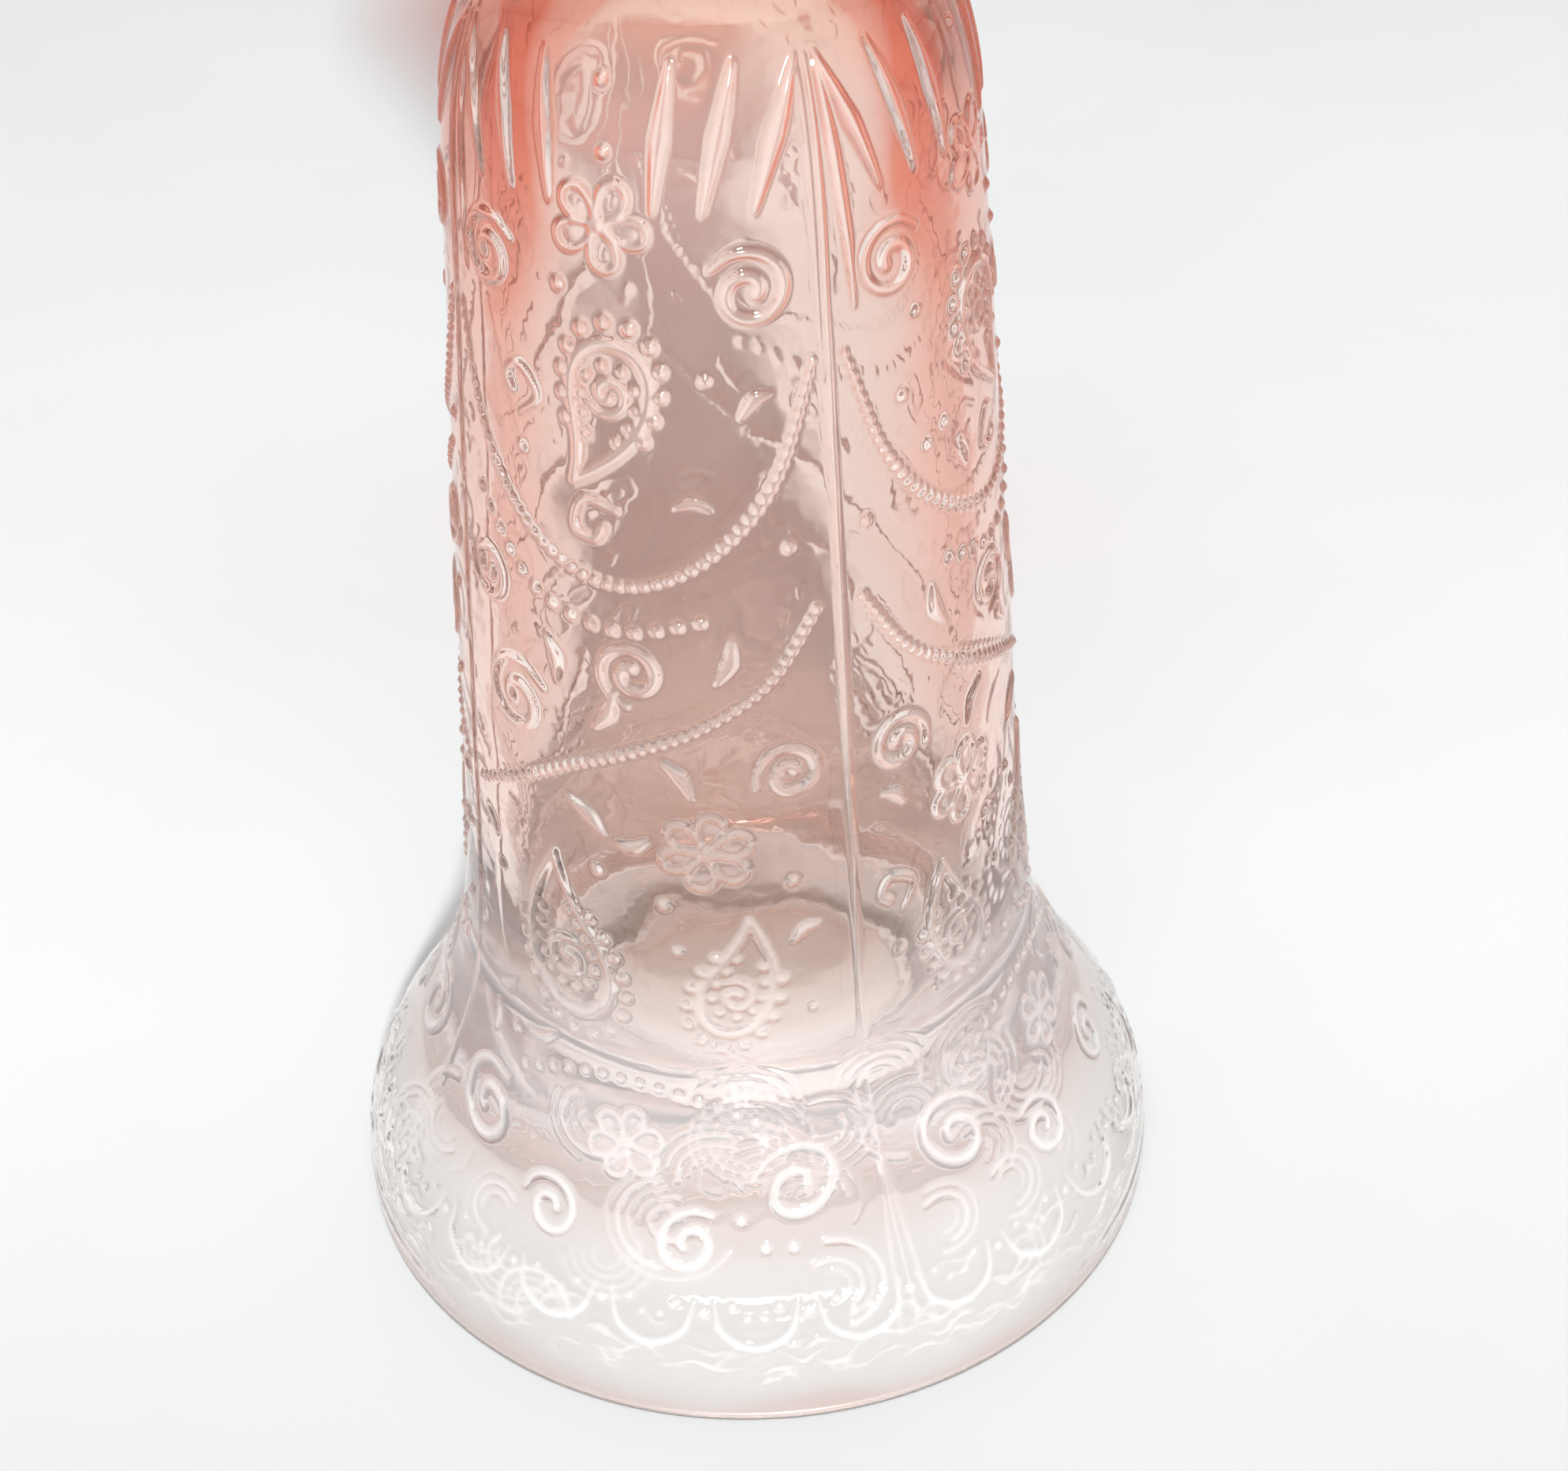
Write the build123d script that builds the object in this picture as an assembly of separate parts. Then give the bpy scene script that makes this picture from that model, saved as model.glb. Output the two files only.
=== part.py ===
from build123d import *
import os

# Pressed-glass bud vase: a hollow bell-shaped foot, a tall tapering water
# column standing on a solid heel, a rounded shoulder, a short neck and a
# flared mouth. The real vase is one moulding of glass. It is held here as the
# zones that the press mould forms, cut face to face, so that each zone can be
# named, measured and replaced on its own.
#
# Frame: millimetres, +Z up, origin on the vase's axis in the plane that the
# foot stands on. The four mould seams lie on the +X, +Y, -X and -Y sides.

# ---------------------------------------------------------------- dimensions
height = 200.0            # overall, foot plane to the top of the lip
foot_r = 44.0             # outer radius of the foot rim
foot_lip_h = 2.8          # height of the upright lip round the foot
foot_lip_t = 2.0          # thickness of that lip
foot_edge_r = 0.65        # rounding of the lip's lower edges

crown_z = 20.4            # top of the hollow under the vase
floor_z = 23.2            # bottom of the water cavity, on the axis
floor_disc_r = 20.0       # radius of the disc between hollow and cavity

heel_z0 = 18.0            # foot skirt ends and heel begins
heel_z1 = 33.0            # heel ends and column begins
column_z1 = 126.0         # column ends and shoulder begins
shoulder_z1 = 138.5       # shoulder ends and neck begins
neck_z1 = 146.0           # neck ends and mouth flare begins
flare_z1 = 196.5          # flare ends and rounded lip begins

neck_z = 141.5            # narrowest place
neck_r = 19.8             # outer radius there
neck_bore_r = 16.2        # inner radius there
mouth_r = 41.0            # outer radius of the flared mouth
lip_t = 3.0               # thickness of the fire-polished lip

seam_w = 0.7              # width of a raised mould seam
seam_h = 0.3              # how far a seam stands proud
seam_z0 = 9.0             # seams start above the foot rim
seam_z1 = 137.0           # and run out on the shoulder

# ------------------------------------------------------------------ profiles
# (radius, height) pairs of the glass, all on one half section.
outer_pts = [
    (foot_r, foot_lip_h),
    (43.75, 5.2),
    (42.9, 8.8),
    (40.55, 13.2),
    (37.6, 17.6),
    (35.2, 22.0),
    (33.15, 26.4),
    (31.5, 30.8),
    (30.4, 35.2),
    (29.7, 39.6),
    (29.0, 46.2),
    (28.25, 57.2),
    (27.2, 74.8),
    (25.75, 96.8),
    (24.25, 118.8),
    (23.7, 125.4),
    (22.95, 130.3),
    (21.6, 135.0),
    (20.2, 138.8),
    (neck_r, neck_z),
    (20.3, 146.0),
    (22.2, 154.0),
    (25.6, 164.0),
    (30.2, 175.0),
    (35.1, 185.0),
    (39.1, 193.0),
    (mouth_r, 198.0),
]
hollow_pts = [
    (0.0, crown_z),
    (8.0, 20.35),
    (13.0, 20.1),
    (17.0, 19.4),
    (22.0, 18.0),
    (28.0, 16.2),
    (33.6, 14.2),
    (37.4, 11.9),
    (40.0, 8.8),
    (41.4, 5.6),
    (foot_r - foot_lip_t, foot_lip_h),
]
cavity_pts = [
    (mouth_r - lip_t, 198.0),
    (36.2, 194.0),
    (32.1, 186.6),
    (27.0, 176.6),
    (22.3, 165.8),
    (18.8, 155.0),
    (16.7, 146.5),
    (neck_bore_r, neck_z),
    (16.75, 137.8),
    (18.3, 133.2),
    (19.75, 129.0),
    (20.6, 124.5),
    (21.1, 118.8),
    (22.5, 96.8),
    (23.9, 74.8),
    (24.85, 57.2),
    (25.4, 46.2),
    (25.45, 40.0),
    (25.1, 35.2),
    (24.1, 31.0),
    (22.2, 27.4),
    (19.5, 24.9),
    (16.0, 23.6),
    (12.0, 23.25),
    (0.0, floor_z),
]


def at(r, z):
    return Vector(r, 0, z)


up, down = Vector(0, 0, 1), Vector(0, 0, -1)
out, inward = Vector(1, 0, 0), Vector(-1, 0, 0)

outer = Spline(*[at(*p) for p in outer_pts], tangents=[up, Vector(0.34, 0, 1)])
hollow = Spline(*[at(*p) for p in hollow_pts], tangents=[out, down])
cavity = Spline(*[at(*p) for p in cavity_pts], tangents=[Vector(-0.5, 0, -1), inward])

inner_r = foot_r - foot_lip_t
cut_in = foot_edge_r * (1 - 0.5**0.5)  # how far the arc's middle is from the corner
foot_edge = [
    Line(at(inner_r, foot_lip_h), at(inner_r, foot_edge_r)),
    ThreePointArc(
        at(inner_r, foot_edge_r),
        at(inner_r + cut_in, cut_in),
        at(inner_r + foot_edge_r, 0),
    ),
    Line(at(inner_r + foot_edge_r, 0), at(foot_r - foot_edge_r, 0)),
    ThreePointArc(
        at(foot_r - foot_edge_r, 0),
        at(foot_r - cut_in, cut_in),
        at(foot_r, foot_edge_r),
    ),
    Line(at(foot_r, foot_edge_r), at(foot_r, foot_lip_h)),
]
# The lip's crown: one arc over the top, touching the overall height.
lip = ThreePointArc(
    at(mouth_r, 198.0), at(mouth_r - lip_t / 2, height), at(mouth_r - lip_t, 198.0)
)
axis_line = Line(at(0, floor_z), at(0, crown_z))

section = make_face(Wire([hollow, *foot_edge, outer, lip, cavity, axis_line]))
glass = revolve(section, Axis.Z, 360)


def slab(z0, z1, r=80.0):
    return Pos(0, 0, (z0 + z1) / 2) * Cylinder(r, z1 - z0)


def ring(z0, z1, r_in):
    return slab(z0, z1) - slab(z0 - 1, z1 + 1, r_in)


# -------------------------------------------------------------------- zones
zones = {
    # Upright rounded lip that the vase stands on.
    "foot_rim": slab(-1.0, foot_lip_h),
    # Bell-shaped wall of the hollow foot.
    "foot_skirt": ring(foot_lip_h, heel_z0, floor_disc_r),
    # Disc of glass between the hollow foot and the water.
    "cavity_floor": slab(10.0, 30.0, floor_disc_r),
    # Thick ring where the foot runs into the column.
    "heel_ring": ring(heel_z0, heel_z1, floor_disc_r),
    # Tall tapering wall that carries the raised ornament.
    "column_wall": slab(heel_z1, column_z1),
    # Rounded shoulder that closes in to the neck.
    "shoulder_ring": slab(column_z1, shoulder_z1),
    # Narrowest ring of the opening.
    "neck_ring": slab(shoulder_z1, neck_z1),
    # Trumpet-shaped mouth.
    "mouth_flare": slab(neck_z1, flare_z1),
    # Fire-polished rounded edge of the mouth.
    "mouth_lip": slab(flare_z1, height + 1),
}
parts = {}
for name, zone in zones.items():
    parts[name] = glass & zone

# Four fine raised seams where the mould's quarters met.
seam_out = []
for r, z in outer_pts:
    if seam_z0 - 6 < z < seam_z1 + 3:
        seam_out.append((r, z))
edge_pts = [at(r + seam_h, z) for r, z in seam_out]
crest = Spline(*edge_pts)
first, last = seam_out[0], seam_out[-1]
blank = make_face(
    Wire(
        [
            crest,
            Line(at(last[0] + seam_h, last[1]), at(18.0, last[1])),
            Line(at(18.0, last[1]), at(18.0, first[1])),
            Line(at(18.0, first[1]), at(first[0] + seam_h, first[1])),
        ]
    )
)
plate = extrude(blank, amount=seam_w / 2, dir=(0, 1, 0), both=True)
outside = plate & slab(seam_z0, seam_z1)
seam = outside - glass
# Only the strip outside the wall is the seam; what fills the cavity is not.
strip = [s for s in seam.solids() if s.center().X > 18 and s.bounding_box().max.X > 23]
strip = max(strip, key=lambda s: s.bounding_box().max.X)
parts["mould_seams"] = Compound(
    children=[Rot(0, 0, 90 * k) * strip for k in range(4)]
)

os.makedirs("parts", exist_ok=True)
for name, shape in parts.items():
    export_step(shape, f"parts/{name}.step")
    solids = shape.solids()
    print(name, len(solids), round(sum(s.volume for s in solids), 1))
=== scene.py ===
import math
import bpy
import numpy as np
from mathutils import Matrix, Vector


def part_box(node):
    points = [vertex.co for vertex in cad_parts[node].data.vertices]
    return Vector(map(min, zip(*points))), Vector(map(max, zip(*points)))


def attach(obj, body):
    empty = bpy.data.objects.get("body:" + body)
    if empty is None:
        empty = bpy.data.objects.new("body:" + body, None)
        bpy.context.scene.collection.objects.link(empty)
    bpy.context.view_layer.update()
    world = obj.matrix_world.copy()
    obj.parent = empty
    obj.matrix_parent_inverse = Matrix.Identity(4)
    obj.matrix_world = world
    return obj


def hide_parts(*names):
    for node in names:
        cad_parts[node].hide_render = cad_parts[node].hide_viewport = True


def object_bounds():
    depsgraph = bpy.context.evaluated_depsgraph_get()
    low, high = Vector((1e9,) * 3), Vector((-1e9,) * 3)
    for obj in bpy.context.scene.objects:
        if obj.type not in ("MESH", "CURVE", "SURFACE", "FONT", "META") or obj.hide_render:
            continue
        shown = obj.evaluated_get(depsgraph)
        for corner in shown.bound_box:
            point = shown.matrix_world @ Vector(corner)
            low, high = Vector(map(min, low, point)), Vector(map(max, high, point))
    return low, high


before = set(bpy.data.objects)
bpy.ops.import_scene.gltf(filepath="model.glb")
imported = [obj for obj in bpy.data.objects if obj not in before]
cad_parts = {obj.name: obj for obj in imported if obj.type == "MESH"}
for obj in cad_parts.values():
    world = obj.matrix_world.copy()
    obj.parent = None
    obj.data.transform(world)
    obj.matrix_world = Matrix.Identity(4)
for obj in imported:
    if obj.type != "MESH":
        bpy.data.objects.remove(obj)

cad_low, cad_high = [list(map(float, c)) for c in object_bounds()]
MM = 0.001

# --------------------------------------------------------------------------
# Half section of the glass, in millimetres, and its smooth curves
# --------------------------------------------------------------------------
FOOT_R = (cad_high[0] - cad_low[0]) / 2 / MM
HEIGHT = (cad_high[2] - cad_low[2]) / MM
LIP_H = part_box("foot_rim")[1].z / MM

OUTER = [(44.0, 2.8), (43.75, 5.2), (42.9, 8.8), (40.55, 13.2), (37.6, 17.6), (35.2, 22.0),
         (33.15, 26.4), (31.5, 30.8), (30.4, 35.2), (29.7, 39.6), (29.0, 46.2), (28.25, 57.2),
         (27.2, 74.8), (25.75, 96.8), (24.25, 118.8), (23.7, 125.4), (22.95, 130.3),
         (21.6, 135.0), (20.2, 138.8), (19.8, 141.5), (20.3, 146.0), (22.2, 154.0),
         (25.6, 164.0), (30.2, 175.0), (35.1, 185.0), (39.1, 193.0), (41.0, 198.0)]
CAVITY = [(38.0, 198.0), (36.2, 194.0), (32.1, 186.6), (27.0, 176.6), (22.3, 165.8),
          (18.8, 155.0), (16.7, 146.5), (16.2, 141.5), (16.75, 137.8), (18.3, 133.2),
          (19.75, 129.0), (20.6, 124.5), (21.1, 118.8), (22.5, 96.8), (23.9, 74.8),
          (24.85, 57.2), (25.4, 46.2), (25.45, 40.0), (25.1, 35.2), (24.1, 31.0), (22.2, 27.4),
          (19.5, 24.9), (16.0, 23.6), (12.0, 23.25), (0.0, 23.2)]
HOLLOW = [(0.0, 20.4), (8.0, 20.35), (13.0, 20.1), (17.0, 19.4), (22.0, 18.0), (28.0, 16.2),
          (33.6, 14.2), (37.4, 11.9), (40.0, 8.8), (41.4, 5.6), (42.0, 2.8)]


def spline(points, start, end, step):
    """Cubic spline through points, clamped to the two end directions, sampled every step mm."""
    p = np.array(points, float)
    t = np.concatenate([[0], np.cumsum(np.hypot(*np.diff(p, axis=0).T))])
    h = np.diff(t)
    n = len(p)
    a = np.zeros((n, n))
    b = np.zeros((n, 2))
    a[0, 0] = a[-1, -1] = 1
    b[0], b[-1] = np.array(start) / np.hypot(*start), np.array(end) / np.hypot(*end)
    for i in range(1, n - 1):
        a[i, i - 1], a[i, i], a[i, i + 1] = 1 / h[i - 1], 2 / h[i - 1] + 2 / h[i], 1 / h[i]
        b[i] = 3 * ((p[i] - p[i - 1]) / h[i - 1] ** 2 + (p[i + 1] - p[i]) / h[i] ** 2)
    m = np.linalg.solve(a, b)
    fine = np.linspace(0, t[-1], 6000)
    k = np.clip(np.searchsorted(t, fine, side="right") - 1, 0, n - 2)
    u = ((fine - t[k]) / h[k])[:, None]
    hk = h[k][:, None]
    q = ((2 * u**3 - 3 * u**2 + 1) * p[k] + (u**3 - 2 * u**2 + u) * hk * m[k]
         + (-2 * u**3 + 3 * u**2) * p[k + 1] + (u**3 - u**2) * hk * m[k + 1])
    s = np.concatenate([[0], np.cumsum(np.hypot(*np.diff(q, axis=0).T))])
    at = np.linspace(0, s[-1], max(2, int(round(s[-1] / step)) + 1)) if np.isscalar(step) else step(s[-1])
    return np.stack([np.interp(at, s, q[:, 0]), np.interp(at, s, q[:, 1])], -1), at


COLS = 800
FINE = 0.25
RELIEF_TOP = 147.0  # arc length, from the foot lip upwards, that carries relief


def outer_steps(total):
    fine = np.arange(0, RELIEF_TOP, FINE)
    coarse = np.linspace(RELIEF_TOP, total, int((total - RELIEF_TOP) / 0.9) + 1)
    return np.concatenate([fine, coarse])


outer, outer_s = spline(OUTER, (0, 1), (0.34, 1), outer_steps)
cavity, _ = spline(CAVITY, (-0.5, -1), (-1, 0), 0.9)
hollow, _ = spline(HOLLOW, (1, 0), (0, -1), 0.9)

# --------------------------------------------------------------------------
# Raised ornament as a height field over the outer wall
# --------------------------------------------------------------------------
# phi is the angle round the vase in degrees and s the arc length in mm up the
# wall from the foot lip. Panels repeat on the opposite side of the vase.
SEAM_PHI = 21.0
phi_of_col = (np.arange(COLS) * 360.0 / COLS - 180.0 + SEAM_PHI)
rows = np.where(outer_s < RELIEF_TOP)[0]
S = outer_s[rows]
RAD = outer[rows, 0]
H = np.zeros((len(rows), COLS))
dcol = math.radians(360.0 / COLS)


def curve(points, step=0.16):
    """Catmull-Rom through (phi, s) points, resampled evenly; returns phi, s, share of length."""
    p = np.array(points, float)
    if len(p) == 2:
        p = np.array([p[0], (p[0] + p[1]) / 2, p[1]])
    ext = np.vstack([2 * p[0] - p[1], p, 2 * p[-1] - p[-2]])
    out = []
    for i in range(1, len(ext) - 2):
        a, b, c, d = ext[i - 1 : i + 3]
        u = np.linspace(0, 1, 24, endpoint=False)[:, None]
        out.append(0.5 * (2 * b + (c - a) * u + (2 * a - 5 * b + 4 * c - d) * u**2
                          + (3 * b - a - 3 * c + d) * u**3))
    q = np.vstack(out + [p[-1:]])
    r = np.interp(q[:, 1], S, RAD)
    x = np.radians(np.diff(q[:, 0])) * (r[1:] + r[:-1]) / 2
    l = np.concatenate([[0], np.cumsum(np.hypot(x, np.diff(q[:, 1])))])
    n = max(2, int(l[-1] / step) + 1)
    at = np.linspace(0, l[-1], n)
    return np.interp(at, l, q[:, 0]), np.interp(at, l, q[:, 1]), at, l[-1]


def splat(phi, s, w, h, shape=1.5, stretch=None):
    """Raises a dome of radius w and height h at one place, on both sides of the vase."""
    w *= 1.18
    if s < 0 or s > S[-1] + w:
        return
    r = np.interp(s, S, RAD)
    i0, i1 = np.searchsorted(S, [s - w * 1.6, s + w * 1.6])
    if i1 <= i0:
        return
    for turn in (0, 180):
        c = (math.radians(phi + turn - SEAM_PHI + 180.0) / dcol)
        k = int(w * 1.6 / (r * dcol)) + 2
        cols = np.arange(int(math.floor(c)) - k, int(math.floor(c)) + k + 2)
        x = (cols - c) * dcol * r
        y = S[i0:i1] - s
        if stretch is None:
            d2 = (x[None] ** 2 + y[:, None] ** 2) / w**2
        else:
            ang, ratio = stretch
            ca, sa = math.cos(ang), math.sin(ang)
            xr = x[None] * ca + y[:, None] * sa
            yr = -x[None] * sa + y[:, None] * ca
            d2 = (xr / ratio) ** 2 / w**2 + yr**2 / w**2
        v = h * np.clip(1 - d2, 0, 1) ** shape
        cc = cols % COLS
        H[i0:i1, cc] = np.maximum(H[i0:i1, cc], v)


def width_at(w, t):
    if np.isscalar(w):
        return w
    return float(np.interp(t, np.linspace(0, 1, len(w)), w))


def line(points, w=0.5, h=0.42):
    """A smooth rounded ridge. w may be a list of half widths along it."""
    p, s, at, total = curve(points)
    for a, b, l in zip(p, s, at):
        ww = width_at(w, l / total)
        splat(a, b, ww, h * min(1.0, 0.45 + 0.55 * ww / 0.5))


def rope(points, w=0.52, h=0.46, pitch=1.15):
    """A twisted rope of touching beads."""
    p, s, at, total = curve(points, pitch / 6)
    n = max(2, int(round(total / pitch)))
    for k in range(n + 1):
        l = total * k / n
        a, b = np.interp(l, at, p), np.interp(l, at, s)
        a2, b2 = np.interp(l + 0.2, at, p), np.interp(l + 0.2, at, s)
        r = np.interp(b, S, RAD)
        ang = math.atan2(b2 - b + 1e-9, math.radians(a2 - a) * r + 1e-9)
        splat(a, b, width_at(w, l / total), h, 1.2, (ang + 0.5, 1.12))
    for a, b, l in zip(p, s, at):
        splat(a, b, width_at(w, l / total) * 0.6, h * 0.5)


def beads(points, r=0.6, h=0.5, gap=1.9, pair=0.0):
    """A row of separate beads, or of pairs of beads set across the row."""
    p, s, at, total = curve(points)
    n = max(1, int(round(total / gap)))
    for k in range(n + 1):
        l = total * k / n
        a, b = np.interp(l, at, p), np.interp(l, at, s)
        rr = width_at(r, l / total)
        if pair:
            l2 = min(total, l + 0.2)
            a2, b2 = np.interp(l2, at, p), np.interp(l2, at, s)
            rad = np.interp(b, S, RAD)
            dx, dy = math.radians(a2 - a) * rad, b2 - b
            q = math.hypot(dx, dy) or 1
            nx, ny = -dy / q, dx / q
            for sg in (-1, 1):
                splat(a + math.degrees(sg * nx * pair / 2 / rad), b + sg * ny * pair / 2, rr, h, 1.1)
        else:
            splat(a, b, rr, h, 1.1)


def dot(phi, s, r=0.9, h=0.6):
    splat(phi, s, r, h, 1.1)


def ring(phi, s, r, w=0.4, h=0.4, squash=1.0, a0=0, a1=360):
    rad = np.interp(s, S, RAD)
    t = np.radians(np.linspace(a0, a1, max(8, int(r * (a1 - a0) / 15))))
    line([(phi + math.degrees(r * math.cos(x) / rad), s + squash * r * math.sin(x)) for x in t], w, h)


def flower(phi, s, size, petals=6, turn=0.0):
    """Open flower: domed petals with a raised rim each, round a small eye."""
    rad = np.interp(s, S, RAD)
    for k in range(petals):
        t = turn + 2 * math.pi * k / petals
        cx, cy = 0.62 * size * math.cos(t), 0.56 * size * math.sin(t)
        pts = []
        for u in np.linspace(0, 2 * math.pi, 15):
            lx, ly = 0.44 * size * math.cos(u), 0.29 * size * math.sin(u) * (1.0 + 0.25 * math.cos(u))
            pts.append((phi + math.degrees((cx + lx * math.cos(t) - ly * math.sin(t)) / rad),
                        s + cy + lx * math.sin(t) + ly * math.cos(t)))
        line(pts, 0.36, 0.42)
        splat(phi + math.degrees(cx / rad), s + cy, 0.36 * size, 0.2, 1.0)
    dot(phi, s, 0.2 * size, 0.45)


# ---- generic scrollwork, the same on each quarter between the seams -------
# A motif is drawn in its own millimetres, moved into place with shift() and
# laid on the wall with put(); neighbouring quarters are mirror images.
centre, side = 0.0, 1


def shift(points, x0, y0, k=1.0, turn=0.0, flip=1):
    """Scales, flips, turns and moves a motif's points."""
    ct, st = math.cos(turn), math.sin(turn)
    return [(x0 + k * (flip * x * ct - y * st), y0 + k * (flip * x * st + y * ct)) for x, y in points]


def put(points):
    """From millimetres across and up a quarter to angle and height."""
    return [(centre + side * math.degrees(x / np.interp(y, S, RAD)), y) for x, y in points]


def spiral(r, turns=1.45, start=0.6):
    out = []
    for q in np.linspace(0, 1, 17):
        a, d = start + 2 * math.pi * turns * q, r * (1 - 0.8 * q)
        out.append((d * math.cos(a), d * math.sin(a)))
    return out


def teardrop(k=1.0, bend=3.2):
    out = []
    for t in np.linspace(0, 2 * math.pi, 23):
        y = 9 * math.cos(t)
        x = 6.2 * math.sin(t) * max(0.0, math.sin(t / 2)) ** 1.2
        out.append((k * (x + bend * max(0.0, y / 9) ** 2), k * y))
    return out


def paisley(x0, y0, k=1.0, turn=0.0, flip=1):
    line(put(shift(teardrop(), x0, y0, k, turn, flip)), [0.5, 0.75, 0.85, 0.75, 0.5])
    beads(put(shift(teardrop(0.70)[4:19], x0, y0, k, turn, flip)), 0.52, 0.45, 1.8)
    eye = [(x, y - 3.0) for x, y in spiral(2.7, 1.25)]
    line(put(shift(eye, x0, y0, k, turn, flip)), [0.35, 0.5, 0.6])
    beads(put(shift(teardrop(1.27)[5:18], x0, y0, k, turn, flip)), 0.68, 0.52, 2.3)


for centre, side in ((SEAM_PHI - 45.0, 1), (SEAM_PHI + 45.0, -1)):
    # flare of the foot
    for x0, y0, r, flip in ((-18, 23.5, 4.8, 1), (18, 23.5, 4.8, -1), (-7.5, 17.5, 3.6, -1), (8, 17.5, 3.6, 1)):
        line(put(shift(spiral(r), x0, y0, 1.0, 0.4, flip)), [0.35, 0.55, 0.65, 0.5])
    flower(centre, 27.0, 3.8, 6, 0.3)
    beads(put([(-13, 30.5), (-7, 33), (0, 34), (7, 33), (13, 30.5)]), 0.58, 0.45, 2.1)
    # paisleys at the foot of the column
    paisley(-8.0, 49.0, 1.0, 0.35, 1)
    paisley(11.5, 47.5, 0.74, -0.4, -1)
    flower(put([(8.0, 62.5)])[0][0], 62.5, 4.2, 6, 0.35)
    # vine with scrolls and leaves
    rope(put([(-20, 61), (-13, 65), (-6, 69.5), (1, 73), (8, 76.5), (14, 81), (18.5, 88)]), [0.42, 0.55, 0.5])
    for x0, y0, r, turn, flip in ((-12, 74.5, 4.6, 0.0, 1), (1.5, 81.5, 3.6, 2.0, -1), (16, 71, 3.4, 1.0, -1),
                                  (-15.5, 87, 3.4, 2.6, 1)):
        line(put(shift(spiral(r), x0, y0, 1.0, turn, flip)), [0.35, 0.55, 0.6, 0.7])
    for x0, y0, turn in ((-4, 64.5, 0.9), (5.5, 70.5, 0.6), (-1.5, 77, -0.5), (10, 83.5, -0.3), (-7, 81, 0.2)):
        line(put(shift([(0, -2.4), (0.5, 0), (0, 2.4)], x0, y0, 1.0, turn)), [0.3, 0.95, 0.3])
    # necklace round an upturned paisley
    rope(put([(-18, 112), (-14.5, 101), (-8, 93.5), (0, 90.5), (8, 93.5), (14.5, 101), (18, 112)]),
         [0.4, 0.6, 0.5, 0.6, 0.4], 0.48, 1.2)
    beads(put([(-16, 95), (-9, 88), (0, 85.8), (8, 87.6)]), 0.6, 0.48, 2.2)
    paisley(0.0, 107.0, 0.78, 3.0, 1)
    for x0, y0, r, turn, flip in ((-12.5, 119, 3.8, 0.0, 1), (12.5, 119, 3.8, 0.0, -1)):
        line(put(shift(spiral(r), x0, y0, 1.0, turn, flip)), [0.35, 0.6, 0.6, 0.7])
    # blossom and long leaves under the shoulder
    flower(centre, 124.5, 4.0, 5, 1.1)
    for x0 in (-15.5, -10.5, -5.5, 5.5, 10.5, 15.5):
        line(put([(x0, 138), (0.94 * x0, 132), (0.84 * x0, 126)]), [0.35, 0.9, 0.3])

# ---- mould seams every quarter turn --------------------------------------
for q in (0, 90):
    line([(SEAM_PHI + q, 7), (SEAM_PHI + q, 60), (SEAM_PHI + q, 100), (SEAM_PHI + q, 138)],
         [0.26, 0.3, 0.34, 0.36, 0.3], 0.36)
    line([(SEAM_PHI + q + 2.2, 137), (SEAM_PHI + q + 3.4, 130), (SEAM_PHI + q + 5.4, 121),
          (SEAM_PHI + q + 6.2, 116)], [0.4, 0.7, 0.6, 0.25], 0.34)
    line([(SEAM_PHI + q - 2.0, 137), (SEAM_PHI + q - 1.7, 118), (SEAM_PHI + q - 0.8, 100)],
         [0.3, 0.34, 0.2], 0.26)
    for side in (-1, 1):
        line([(SEAM_PHI + q + side * 0.5, 24), (SEAM_PHI + q + side * 1.6, 15),
              (SEAM_PHI + q + side * 2.6, 6.5)], [0.2, 0.4, 0.3], 0.26)

# beaded scallops and dashes low on the foot
for k in range(12):
    m = SEAM_PHI - 90 + 15 * k + 7.5
    line([(m - 6.2, 12.0), (m - 4.6, 8.6), (m, 7.0), (m + 4.6, 8.6), (m + 6.2, 12.0)],
         [0.25, 0.45, 0.5, 0.45, 0.25], 0.36)
    beads([(m - 3.4, 11.4), (m, 9.8), (m + 3.4, 11.4)], 0.42, 0.36, 1.7)
    dot(m + 7.5, 10.6, 0.55, 0.4)
    line([(m - 7.0, 5.4), (m - 4.2, 4.7), (m - 1.0, 4.9)], [0.15, 0.34, 0.15], 0.3)
    line([(m + 0.8, 4.3), (m + 3.4, 4.9), (m + 6.4, 4.4)], [0.15, 0.34, 0.15], 0.3)

# fine chill wrinkles just above the foot lip
seeded = np.random.default_rng(3)
for _ in range(90):
    p0, s0 = seeded.uniform(-69, 111), seeded.triangular(1.6, 4.0, 13.0)
    span_deg, sway = seeded.uniform(3.5, 11.0), seeded.uniform(0.3, 0.9)
    line([(p0 + span_deg * u, s0 + sway * math.sin(7 * u + p0)) for u in (0, 0.25, 0.5, 0.75, 1.0)],
         [0.14, seeded.uniform(0.28, 0.42), 0.14], 0.34)

# shallow nested swirls all over the flare of the foot
for _ in range(34):
    p0, s0 = seeded.uniform(-69, 111), seeded.uniform(7, 34)
    a0, r0 = seeded.uniform(0, 360), seeded.uniform(1.2, 2.2)
    for k in range(int(seeded.integers(3, 6))):
        a0 += seeded.uniform(-50, 50)
        ring(p0, s0, r0 + 1.15 * k, seeded.uniform(0.3, 0.46), seeded.uniform(0.2, 0.3), 0.85,
             a0, a0 + seeded.uniform(90, 230))

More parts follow.
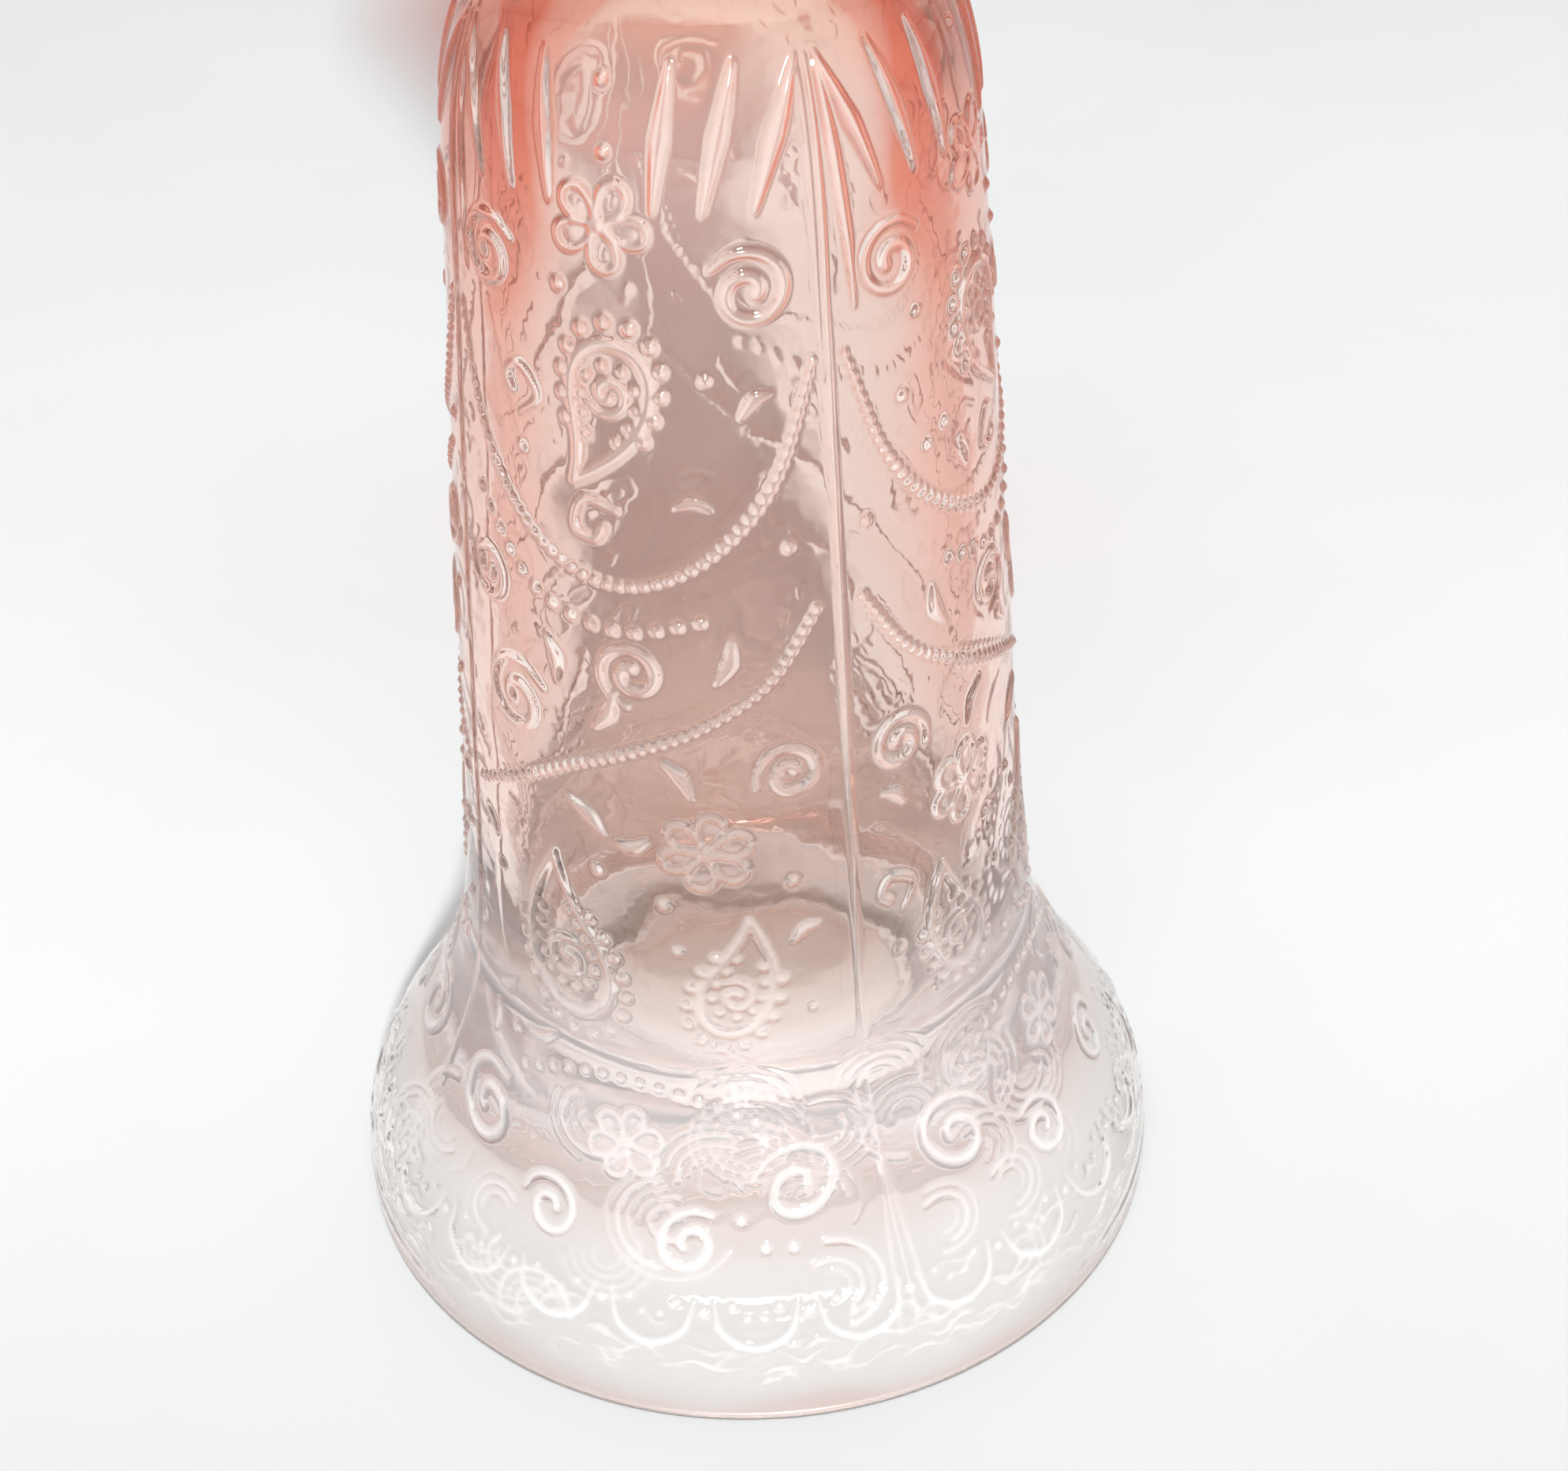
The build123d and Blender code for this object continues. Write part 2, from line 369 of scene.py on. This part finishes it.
# small fillers where the ground between the motifs is still plain
for _ in range(900):
    p0, s0 = seeded.uniform(-69, 111), seeded.uniform(13, 137)
    if min(abs(p0 - SEAM_PHI), abs(p0 - SEAM_PHI - 90), abs(p0 - SEAM_PHI + 90)) < 5.5:
        continue
    size = seeded.choice([1.5, 2.0, 2.8])
    rad = np.interp(s0, S, RAD)
    i0, i1 = np.searchsorted(S, [s0 - size - 0.5, s0 + size + 0.5])
    k = int((size + 0.5) / (rad * dcol))
    c0 = int(math.radians(p0 - SEAM_PHI + 180.0) / dcol)
    if H[i0:i1, np.arange(c0 - k, c0 + k + 1) % COLS].max() > 0.02:
        continue
    t0 = seeded.uniform(0, 2 * math.pi)
    if size > 2.5:
        pts = [(p0 + math.degrees(size * q * math.cos(t0 + 4.6 * v) / rad),
                s0 + size * q * math.sin(t0 + 4.6 * v))
               for q, v in ((0.95, 0), (0.92, 0.3), (0.8, 0.6), (0.5, 0.85), (0.25, 1.15))]
        line(pts, [0.25, 0.45, 0.55])
    elif size > 1.8:
        d = (math.degrees(size * 0.8 * math.cos(t0) / rad), size * 0.8 * math.sin(t0))
        line([(p0 - d[0], s0 - d[1]), (p0 + 0.2 * d[1], s0 - 0.2 * d[0]), (p0 + d[0], s0 + d[1])],
             [0.25, 0.7, 0.3])
    else:
        dot(p0, s0, 0.6, 0.45)


def soften(a, sx, sy):
    """Gaussian blur, round the vase and up it, by sx and sy cells."""
    kx = np.exp(-0.5 * (np.arange(-4, 5) / sx) ** 2)
    ky = np.exp(-0.5 * (np.arange(-4, 5) / sy) ** 2)
    b = sum(k * np.roll(a, i, 1) for k, i in zip(kx / kx.sum(), range(-4, 5)))
    pad = np.pad(b, ((4, 4), (0, 0)), mode="edge")
    return sum(k * pad[4 + i : 4 + i + len(a)] for k, i in zip(ky / ky.sum(), range(-4, 5)))


# The far half is kept softer and shallower: at full depth its outlines show through
# the near wall as dark cracks. This is a choice for the look, not a measured fact.
turned = np.abs((phi_of_col + 180.0) % 360.0 - 180.0)
shallow = np.clip((turned - 98.0) / 14.0, 0, 1)
shallow = (shallow * shallow * (3 - 2 * shallow))[None]
H = soften(H, 0.6, 0.6) * (1.0 - shallow) + soften(H, 1.1, 1.1) * shallow * 0.56
# the relief dies out at the foot lip and at the neck
fade = np.clip((S - 1.2) / 2.4, 0, 1) * np.clip((141.0 - S) / 6.0, 0, 1)
H *= (fade * fade * (3 - 2 * fade))[:, None]

# --------------------------------------------------------------------------
# The glass as one closed mesh
# --------------------------------------------------------------------------
rng = np.random.default_rng(7)


def ripple(path, cols, amp, waves, lo, hi):
    """Smooth unevenness of moulded glass: a few seeded waves, whole numbers of them round the vase."""
    s = np.concatenate([[0], np.cumsum(np.hypot(*np.diff(path, axis=0).T))])
    t = np.arange(cols) * 2 * math.pi / cols
    out = np.zeros((len(path), cols))
    for _ in range(waves):
        n = int(rng.integers(lo, hi))
        k = rng.uniform(0.02, 0.55)
        out += np.sin(n * t[None] + k * s[:, None] * rng.choice([-1, 1]) + rng.uniform(0, 6.28)
                      + 1.3 * np.sin(0.11 * s[:, None] + rng.uniform(0, 6.28)))
    return out * amp / math.sqrt(waves)


def normals(path):
    d = np.gradient(path, axis=0)
    l = np.hypot(d[:, 0], d[:, 1])
    return np.stack([d[:, 1] / l, -d[:, 0] / l], -1)  # to the right of the way the path runs


phi = np.radians(phi_of_col - SEAM_PHI)          # part frame: 0 is -Y, a mould seam
cosd, sind = -np.cos(phi), np.sin(phi)


def rings(path, offset):
    """Rings of points for a path, moved along its normal by offset (rows x cols)."""
    n = normals(path)
    r = path[:, 0:1] + n[:, 0:1] * offset
    z = path[:, 1:2] + n[:, 1:2] * offset
    return np.stack([r * sind[None], r * cosd[None], z + 0 * r], -1)


# outer wall, going up
off = ripple(outer, COLS, 0.035, 9, 2, 14)
quiet = np.clip(outer_s / 6.0, 0, 1) * np.clip((outer_s[-1] - outer_s) / 8.0, 0, 1)
off = off * quiet[:, None]
off[rows] += H
wall = rings(outer, off)
# lip crown: arc from outer to inner edge over the top
c_r, c_z = 39.5, 198.0
a = np.linspace(0, math.pi, 17)[1:-1]
crown = np.stack([c_r + 1.5 * np.cos(a), c_z + (HEIGHT - c_z) * np.sin(a)], -1)
crown_r = rings(crown, np.zeros((len(crown), COLS)))
# cavity, going down and in to the axis
inner = ripple(cavity, COLS, 0.06, 12, 1, 11)
cs = np.concatenate([[0], np.cumsum(np.hypot(*np.diff(cavity, axis=0).T))])
inner *= (np.clip(cs / 6.0, 0, 1) * np.clip((cs[-1] - cs) / 9.0, 0, 1))[:, None]
cav = rings(cavity[:-1], inner[:-1])
# hollow under the foot, from the axis out and down to the lip
under = ripple(hollow, COLS, 0.05, 9, 1, 9)
hs = np.concatenate([[0], np.cumsum(np.hypot(*np.diff(hollow, axis=0).T))])
under *= (np.clip(hs / 9.0, 0, 1) * np.clip((hs[-1] - hs) / 6.0, 0, 1))[:, None]
hol = rings(hollow[1:], under[1:])
# ground foot lip: down inside, over the flat and up outside
e = 0.65
b = np.linspace(0, math.pi / 2, 6)
foot = [(FOOT_R - 2.0, z) for z in np.linspace(LIP_H, e, 5)[1:-1]]
foot += [(FOOT_R - 2.0 + e - e * math.cos(x), e - e * math.sin(x)) for x in b]
foot += [(FOOT_R - 2.0 + e + (2.0 - 2 * e) * u, 0.0) for u in (0.34, 0.67)]
foot += [(FOOT_R - e + e * math.sin(x), e - e * math.cos(x)) for x in b]
foot += [(FOOT_R, z) for z in np.linspace(e, LIP_H, 5)[1:-1]]
foot = np.array(foot)
foot_r = rings(foot, np.zeros((len(foot), COLS)))

grid = np.concatenate([hol, foot_r, wall, crown_r, cav])
R, C = grid.shape[:2]
verts = np.concatenate([grid.reshape(-1, 3), [[0, 0, HOLLOW[0][1]], [0, 0, CAVITY[-1][1]]]]) * MM
i = np.arange(R - 1)[:, None] * C
j = np.arange(C)[None]
jn = (j + 1) % C
quads = np.stack([i + j, i + jn, i + C + jn, i + C + j], -1).reshape(-1, 4)
low = np.stack([np.full(C, R * C), (np.arange(C) + 1) % C, np.arange(C)], -1)
top = (R - 1) * C
high = np.stack([np.full(C, R * C + 1), top + np.arange(C), top + (np.arange(C) + 1) % C], -1)
loops = np.concatenate([quads.ravel(), low.ravel(), high.ravel()]).astype(np.int32)
sizes = np.concatenate([np.full(len(quads), 4), np.full(2 * C, 3)])
starts = np.concatenate([[0], np.cumsum(sizes)[:-1]]).astype(np.int32)
me = bpy.data.meshes.new("vase_glass")
me.vertices.add(len(verts))
me.vertices.foreach_set("co", verts.astype(np.float32).ravel())
me.loops.add(len(loops))
me.loops.foreach_set("vertex_index", loops)
me.polygons.add(len(starts))
me.polygons.foreach_set("loop_start", starts)
me.update(calc_edges=True)
me.validate()
me.polygons.foreach_set("use_smooth", np.ones(len(me.polygons), bool))
vase = bpy.data.objects.new("vase_glass", me)
bpy.context.scene.collection.objects.link(vase)
# how far each point stands proud as ornament, for the satin and the painted glints of moulded lines
proud = np.zeros((R, C))
first_row = len(hol) + len(foot_r)
proud[first_row : first_row + len(rows)] = np.clip(H / 0.45, 0, 1)
attr = me.attributes.new("relief", "FLOAT", "POINT")
attr.data.foreach_set("value", np.concatenate([proud.ravel(), [0.0, 0.0]]).astype(np.float32))
# outward normals: check the sign of the enclosed volume
tri = verts[quads[:, [0, 1, 2]]]
tri2 = verts[quads[:, [0, 2, 3]]]
vol = (np.einsum("ij,ij->i", tri[:, 0], np.cross(tri[:, 1], tri[:, 2])).sum()
       + np.einsum("ij,ij->i", tri2[:, 0], np.cross(tri2[:, 1], tri2[:, 2])).sum()) / 6
print("glass volume cm3", vol * 1e6, "faces", len(me.polygons))
if vol < 0:
    me.flip_normals()

# --------------------------------------------------------------------------
# Materials
# --------------------------------------------------------------------------


def node(tree, kind, **values):
    n = tree.nodes.new(kind)
    for k, v in values.items():
        if hasattr(n, k):
            setattr(n, k, v)
        else:
            n.inputs[k].default_value = v
    return n


glass = bpy.data.materials.new("blush_pressed_glass")
glass.use_nodes = True
nt = glass.node_tree
nt.nodes.clear()
out = node(nt, "ShaderNodeOutputMaterial")
bsdf = node(nt, "ShaderNodeBsdfPrincipled")
bsdf.inputs["Transmission Weight"].default_value = 1.0
bsdf.inputs["IOR"].default_value = 1.52
bsdf.inputs["Specular IOR Level"].default_value = 0.5
vol_n = node(nt, "ShaderNodeVolumeAbsorption")
vol_n.inputs["Color"].default_value = (0.93, 0.40, 0.20, 1)
vol_n.inputs["Density"].default_value = 9.0
nt.links.new(vol_n.outputs[0], out.inputs["Volume"])
geo = node(nt, "ShaderNodeNewGeometry")
sep = node(nt, "ShaderNodeSeparateXYZ")
nt.links.new(geo.outputs["Position"], sep.inputs[0])
# cloudy unevenness of the struck colour
cloud = node(nt, "ShaderNodeTexNoise")
cloud.inputs["Scale"].default_value = 38.0
cloud.inputs["Detail"].default_value = 3.0
nt.links.new(geo.outputs["Position"], cloud.inputs["Vector"])
sway = node(nt, "ShaderNodeMath", operation="MULTIPLY_ADD")
sway.inputs[1].default_value = 0.012
nt.links.new(cloud.outputs["Fac"], sway.inputs[0])
nt.links.new(sep.outputs["Z"], sway.inputs[2])
span = node(nt, "ShaderNodeMapRange")
span.inputs["From Min"].default_value = 0.006
span.inputs["From Max"].default_value = HEIGHT * MM + 0.006
nt.links.new(sway.outputs[0], span.inputs["Value"])
ramp = node(nt, "ShaderNodeValToRGB")
cr = ramp.color_ramp
cr.interpolation = "EASE"
stops = [(0.0, (0.95, 0.76, 0.72)), (0.012, (0.99, 0.975, 0.97)), (0.03, (0.998, 0.995, 0.993)),
         (0.14, (0.998, 0.99, 0.987)), (0.26, (0.988, 0.918, 0.888)), (0.52, (0.984, 0.876, 0.828)),
         (0.60, (0.98, 0.865, 0.818)), (0.66, (0.975, 0.85, 0.80)), (0.71, (0.96, 0.74, 0.64)),
         (0.78, (0.89, 0.38, 0.25))]
while len(cr.elements) < len(stops):
    cr.elements.new(0.5)
for el, (pos, col) in zip(cr.elements, stops):
    el.position = pos
    el.color = (*col, 1)
nt.links.new(span.outputs[0], ramp.inputs[0])
# the struck colour is a skin: it looks deeper where the wall is seen edge on
deep = node(nt, "ShaderNodeValToRGB")
stops = [(0.02, (0.99, 0.98, 0.975)), (0.16, (0.985, 0.955, 0.945)), (0.21, (0.97, 0.86, 0.83)), (0.29, (0.93, 0.62, 0.53)),
         (0.49, (0.90, 0.44, 0.34)), (0.57, (0.885, 0.36, 0.26)), (0.63, (0.85, 0.21, 0.13)),
         (0.90, (0.84, 0.27, 0.18))]
while len(deep.color_ramp.elements) < len(stops):
    deep.color_ramp.elements.new(0.5)
for el, (pos, col) in zip(deep.color_ramp.elements, stops):
    el.position = pos
    el.color = (*col, 1)
nt.links.new(span.outputs[0], deep.inputs[0])
edge_on = node(nt, "ShaderNodeLayerWeight")
edge_on.inputs["Blend"].default_value = 0.5
skin = node(nt, "ShaderNodeMapRange", interpolation_type="SMOOTHSTEP")
for k, val in (("From Min", 0.10), ("From Max", 0.64), ("To Min", 0.0), ("To Max", 1.0)):
    skin.inputs[k].default_value = val
nt.links.new(edge_on.outputs["Facing"], skin.inputs["Value"])
limb = node(nt, "ShaderNodeMath", operation="POWER")
limb.inputs[1].default_value = 1.8
nt.links.new(skin.outputs[0], limb.inputs[0])
strong = node(nt, "ShaderNodeMapRange", interpolation_type="SMOOTHSTEP")
for k, val in (("From Min", 0.55), ("From Max", 0.67), ("To Min", 1.0), ("To Max", 9.0)):
    strong.inputs[k].default_value = val
nt.links.new(span.outputs[0], strong.inputs["Value"])
most = node(nt, "ShaderNodeMath", operation="MULTIPLY", use_clamp=True)
nt.links.new(limb.outputs[0], most.inputs[0])
nt.links.new(strong.outputs[0], most.inputs[1])
tint = node(nt, "ShaderNodeMix", data_type="RGBA")
nt.links.new(most.outputs[0], tint.inputs["Factor"])
nt.links.new(ramp.outputs[0], tint.inputs["A"])
nt.links.new(deep.outputs[0], tint.inputs["B"])
nt.links.new(tint.outputs["Result"], bsdf.inputs["Base Color"])
# roughness: fire-polished, with faint handling marks and a ground edge on the foot
marks = node(nt, "ShaderNodeTexNoise")
marks.inputs["Scale"].default_value = 420.0
marks.inputs["Detail"].default_value = 4.0
nt.links.new(geo.outputs["Position"], marks.inputs["Vector"])
mr = node(nt, "ShaderNodeMapRange")
mr.inputs["From Min"].default_value = 0.55
mr.inputs["From Max"].default_value = 0.85
mr.inputs["To Min"].default_value = 0.012
mr.inputs["To Max"].default_value = 0.09
nt.links.new(marks.outputs["Fac"], mr.inputs["Value"])
ground = node(nt, "ShaderNodeMapRange")
ground.inputs["From Min"].default_value = 0.00025
ground.inputs["From Max"].default_value = 0.0009
ground.inputs["To Min"].default_value = 0.32
ground.inputs["To Max"].default_value = 0.0
nt.links.new(sep.outputs["Z"], ground.inputs["Value"])
add = node(nt, "ShaderNodeMath", operation="ADD")
nt.links.new(mr.outputs[0], add.inputs[0])
nt.links.new(ground.outputs[0], add.inputs[1])
# fine mould texture in the surface
fine = node(nt, "ShaderNodeTexNoise")
fine.inputs["Scale"].default_value = 260.0
fine.inputs["Detail"].default_value = 2.0
nt.links.new(geo.outputs["Position"], fine.inputs["Vector"])
bump = node(nt, "ShaderNodeBump")
bump.inputs["Strength"].default_value = 0.12
bump.inputs["Distance"].default_value = 0.0004
nt.links.new(fine.outputs["Fac"], bump.inputs["Height"])
nt.links.new(bump.outputs[0], bsdf.inputs["Normal"])
# moulded lines come out of the press a little satin (real), and are also whitened as a painted highlight: the
# pale lines stand in for the glints and caustics a small lamp throws off the relief; the ground stays bright
rel = node(nt, "ShaderNodeAttribute", attribute_name="relief")
satin_and_painted_glint = node(nt, "ShaderNodeMapRange", interpolation_type="SMOOTHSTEP")
for k, val in (("From Min", 0.10), ("From Max", 0.75), ("To Min", 0.0), ("To Max", 1.0)):
    satin_and_painted_glint.inputs[k].default_value = val
nt.links.new(rel.outputs["Fac"], satin_and_painted_glint.inputs["Value"])
# how strongly the lines are whitened, more near the foot: the strength of the painted glint by height
satin_and_glint_depth = node(nt, "ShaderNodeMapRange")
for k, val in (("From Min", 0.012), ("From Max", 0.036), ("To Min", -0.24), ("To Max", -0.10)):
    satin_and_glint_depth.inputs[k].default_value = val
nt.links.new(sep.outputs["Z"], satin_and_glint_depth.inputs["Value"])
# A slight cloudiness in the heel and the shoulder, chosen for the look: it stands in
# for the scattered light that the shadow-ray shortcut below leaves out.
veil = node(nt, "ShaderNodeValToRGB")
stops = [(0.0, 0.975), (0.02, 0.965), (0.06, 0.945), (0.10, 0.88), (0.145, 0.78), (0.19, 0.86), (0.245, 1.0),
         (0.60, 1.0), (0.68, 0.93)]
while len(veil.color_ramp.elements) < len(stops):
    veil.color_ramp.elements.new(0.5)
for el, (pos, g) in zip(veil.color_ramp.elements, stops):
    el.position = pos
    el.color = (g, g, g, 1)
nt.links.new(span.outputs[0], veil.inputs[0])
# transmission: lines whitened as painted glints, plus the veil of painted scattered light
clear = node(nt, "ShaderNodeMath", operation="MULTIPLY_ADD")
nt.links.new(satin_and_painted_glint.outputs[0], clear.inputs[0])
nt.links.new(satin_and_glint_depth.outputs[0], clear.inputs[1])
nt.links.new(veil.outputs[0], clear.inputs[2])
nt.links.new(clear.outputs[0], bsdf.inputs["Transmission Weight"])
add2 = node(nt, "ShaderNodeMath", operation="MULTIPLY_ADD")
add2.inputs[1].default_value = 0.06
nt.links.new(satin_and_painted_glint.outputs[0], add2.inputs[0])
nt.links.new(add.outputs[0], add2.inputs[2])
nt.links.new(add2.outputs[0], bsdf.inputs["Roughness"])
# lamps shine through the glass to the table: tinted, and dimmer where it is met aslant
lamp = node(nt, "ShaderNodeBsdfTransparent")
aslant = node(nt, "ShaderNodeLayerWeight")
aslant.inputs["Blend"].default_value = 0.5
dim = node(nt, "ShaderNodeValToRGB")
stops = [(0.0, 0.99), (0.25, 0.97), (0.55, 0.88), (0.78, 0.62), (1.0, 0.12)]
while len(dim.color_ramp.elements) < len(stops):
    dim.color_ramp.elements.new(0.5)
for el, (pos, g) in zip(dim.color_ramp.elements, stops):
    el.position = pos
    el.color = (g, g, g, 1)
nt.links.new(aslant.outputs["Facing"], dim.inputs[0])
through = node(nt, "ShaderNodeValToRGB")
stops = [(0.05, (0.995, 0.99, 0.985)), (0.15, (0.985, 0.975, 0.97)), (0.22, (0.85, 0.73, 0.67)),
         (0.52, (0.62, 0.42, 0.34)), (0.68, (0.78, 0.43, 0.33)), (0.98, (0.80, 0.36, 0.24))]
while len(through.color_ramp.elements) < len(stops):
    through.color_ramp.elements.new(0.5)
for el, (pos, col) in zip(through.color_ramp.elements, stops):
    el.position = pos
    el.color = (*col, 1)
nt.links.new(span.outputs[0], through.inputs[0])
shade = node(nt, "ShaderNodeMix", data_type="RGBA", blend_type="MULTIPLY")
shade.inputs["Factor"].default_value = 1.0
nt.links.new(through.outputs[0], shade.inputs["A"])
nt.links.new(dim.outputs[0], shade.inputs["B"])
nt.links.new(shade.outputs["Result"], lamp.inputs["Color"])
path = node(nt, "ShaderNodeLightPath")
both = node(nt, "ShaderNodeMixShader")
nt.links.new(path.outputs["Is Shadow Ray"], both.inputs["Fac"])
nt.links.new(bsdf.outputs[0], both.inputs[1])
nt.links.new(lamp.outputs[0], both.inputs[2])
nt.links.new(both.outputs[0], out.inputs["Surface"])
me.materials.append(glass)

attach(vase, "root")
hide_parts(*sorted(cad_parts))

# --------------------------------------------------------------------------
# Floor, light and camera
# --------------------------------------------------------------------------
paper = bpy.data.materials.new("floor_paper")
paper.use_nodes = True
pt = paper.node_tree
pb = pt.nodes["Principled BSDF"]
pb.inputs["Roughness"].default_value = 0.75
pb.inputs["Specular IOR Level"].default_value = 0.2
pn = node(pt, "ShaderNodeTexNoise")
pn.inputs["Scale"].default_value = 9.0
pn.inputs["Detail"].default_value = 5.0
pr = node(pt, "ShaderNodeValToRGB")
pr.color_ramp.elements[0].position = 0.35
pr.color_ramp.elements[0].color = (0.80, 0.81, 0.81, 1)
pr.color_ramp.elements[1].position = 0.7
pr.color_ramp.elements[1].color = (0.84, 0.845, 0.84, 1)
pg = node(pt, "ShaderNodeNewGeometry")
pt.links.new(pg.outputs["Position"], pn.inputs["Vector"])
pt.links.new(pn.outputs["Fac"], pr.inputs[0])
# and a touch greyer on the near side, to even out the lamps' falloff
pd = node(pt, "ShaderNodeVectorMath", operation="DOT_PRODUCT")
pd.inputs[1].default_value = (math.sin(math.radians(-SEAM_PHI)), -math.cos(math.radians(-SEAM_PHI)), 0.0)
pt.links.new(pg.outputs["Position"], pd.inputs[0])
pf = node(pt, "ShaderNodeMapRange", interpolation_type="SMOOTHSTEP")
for k, val in (("From Min", -0.06), ("From Max", 0.13), ("To Min", 1.0), ("To Max", 0.81)):
    pf.inputs[k].default_value = val
pt.links.new(pd.outputs["Value"], pf.inputs["Value"])
pm = node(pt, "ShaderNodeMix", data_type="RGBA", blend_type="MULTIPLY")
pm.inputs["Factor"].default_value = 1.0
pt.links.new(pr.outputs[0], pm.inputs["A"])
pt.links.new(pf.outputs[0], pm.inputs["B"])
pt.links.new(pm.outputs["Result"], pb.inputs["Base Color"])

n = 96
ang = np.linspace(0, 2 * math.pi, n, endpoint=False)
fl = bpy.data.meshes.new("floor")
fl.from_pydata([(6 * math.cos(x), 6 * math.sin(x), 0) for x in ang], [], [list(range(n))])
floor = bpy.data.objects.new("floor", fl)
bpy.context.scene.collection.objects.link(floor)
fl.materials.append(paper)

# the room: a pale band round the horizon, bright behind the vase and dim above the camera
azim = math.radians(-SEAM_PHI)
world = bpy.data.worlds.new("studio")
bpy.context.scene.world = world
world.use_nodes = True
wt = world.node_tree
bg = wt.nodes["Background"]
wc = node(wt, "ShaderNodeTexCoord")
ws = node(wt, "ShaderNodeSeparateXYZ")
wt.links.new(wc.outputs["Generated"], ws.inputs[0])
wd = node(wt, "ShaderNodeVectorMath", operation="DOT_PRODUCT")
wd.inputs[1].default_value = (-math.sin(azim), math.cos(azim), 0.25)
wt.links.new(wc.outputs["Generated"], wd.inputs[0])
wb = node(wt, "ShaderNodeMapRange", interpolation_type="SMOOTHSTEP")
for k, val in (("From Min", -0.15), ("From Max", 0.75), ("To Min", 0.0), ("To Max", 1.0)):
    wb.inputs[k].default_value = val
wt.links.new(wd.outputs["Value"], wb.inputs["Value"])
wh = node(wt, "ShaderNodeMapRange", interpolation_type="SMOOTHSTEP")
for k, val in (("From Min", 0.06), ("From Max", 0.32), ("To Min", 1.0), ("To Max", 0.0)):
    wh.inputs[k].default_value = val
wt.links.new(ws.outputs["Z"], wh.inputs["Value"])
wl = node(wt, "ShaderNodeMapRange", interpolation_type="SMOOTHSTEP")
for k, val in (("From Min", 0.25), ("From Max", 0.65), ("To Min", 1.0), ("To Max", 0.0)):
    wl.inputs[k].default_value = val
wt.links.new(ws.outputs["Z"], wl.inputs["Value"])
wx = node(wt, "ShaderNodeMath", operation="MULTIPLY")
wt.links.new(wb.outputs[0], wx.inputs[0])
wt.links.new(wl.outputs[0], wx.inputs[1])
wm = node(wt, "ShaderNodeMath", operation="MAXIMUM")
wt.links.new(wx.outputs[0], wm.inputs[0])
wt.links.new(wh.outputs[0], wm.inputs[1])
wr = node(wt, "ShaderNodeMapRange")
for k, val in (("From Min", 0.0), ("From Max", 1.0), ("To Min", 0.14), ("To Max", 0.80)):
    wr.inputs[k].default_value = val
wt.links.new(wm.outputs[0], wr.inputs["Value"])
bg.inputs["Color"].default_value = (0.95, 0.975, 1.0, 1)
wt.links.new(wr.outputs[0], bg.inputs["Strength"])

# camera: solved in foot radii, with azimuth measured from the -Y seam
el, dist, roll = math.radians(44.6), 7.289 * FOOT_R * MM, math.radians(-2.7)
off_x, off_y, focal = -33.0, 484.7, 3500.0
back = Vector((math.sin(azim) * math.cos(el), -math.cos(azim) * math.cos(el), math.sin(el)))
fwd0 = -back
right0 = Vector((math.cos(azim), math.sin(azim), 0))
up0 = right0.cross(fwd0)
c, s_ = math.cos(roll), math.sin(roll)
r2, u2 = c * right0 + s_ * up0, -s_ * right0 + c * up0
v = Vector((off_x, -off_y, focal)).normalized()
ax = Vector((0, 0, 1)).cross(v)
rot = Matrix.Rotation(math.asin(ax.length), 3, ax.normalized())
basis = rot @ Matrix((r2, u2, fwd0))
cam_data = bpy.data.cameras.new("camera")
cam_data.sensor_fit = "HORIZONTAL"
cam_data.sensor_width = 36.0
cam_data.lens = 36.0 * focal / 1988.0
cam_data.clip_start = 0.01
cam = bpy.data.objects.new("camera", cam_data)
m = Matrix((basis[0], basis[1], -basis[2])).transposed().to_4x4()
m.translation = back * dist
cam.matrix_world = m
bpy.context.scene.collection.objects.link(cam)
bpy.context.scene.camera = cam


def softbox(name, azimuth, elevation, distance, size, power, colour=(1, 1, 1)):
    """Area light aimed at the vase; azimuth is from the camera's side, to its right."""
    t = azim + math.radians(azimuth)
    e = math.radians(elevation)
    d = Vector((math.sin(t) * math.cos(e), -math.cos(t) * math.cos(e), math.sin(e)))
    light = bpy.data.lights.new(name, "AREA")
    light.shape = "RECTANGLE"
    light.size, light.size_y = size
    light.energy = power
    light.color = colour
    o = bpy.data.objects.new(name, light)
    o.location = d * distance + Vector((0, 0, 0.08))
    o.rotation_euler = (-d).to_track_quat("-Z", "Y").to_euler()
    bpy.context.scene.collection.objects.link(o)
    return o


softbox("key", 4, 32, 3.6, (0.26, 0.23), 232)
softbox("over", -3, 60, 2.2, (1.34, 0.40), 18)
softbox("top", 200, 70, 1.4, (1.2, 1.2), 1.5)

scene = bpy.context.scene
scene.view_settings.view_transform = "Standard"
scene.view_settings.exposure = -0.30
scene.cycles.caustics_refractive = False
scene.cycles.caustics_reflective = False
scene.cycles.max_bounces = 24
scene.cycles.transmission_bounces = 24
scene.cycles.glossy_bounces = 24
scene.cycles.transparent_max_bounces = 16
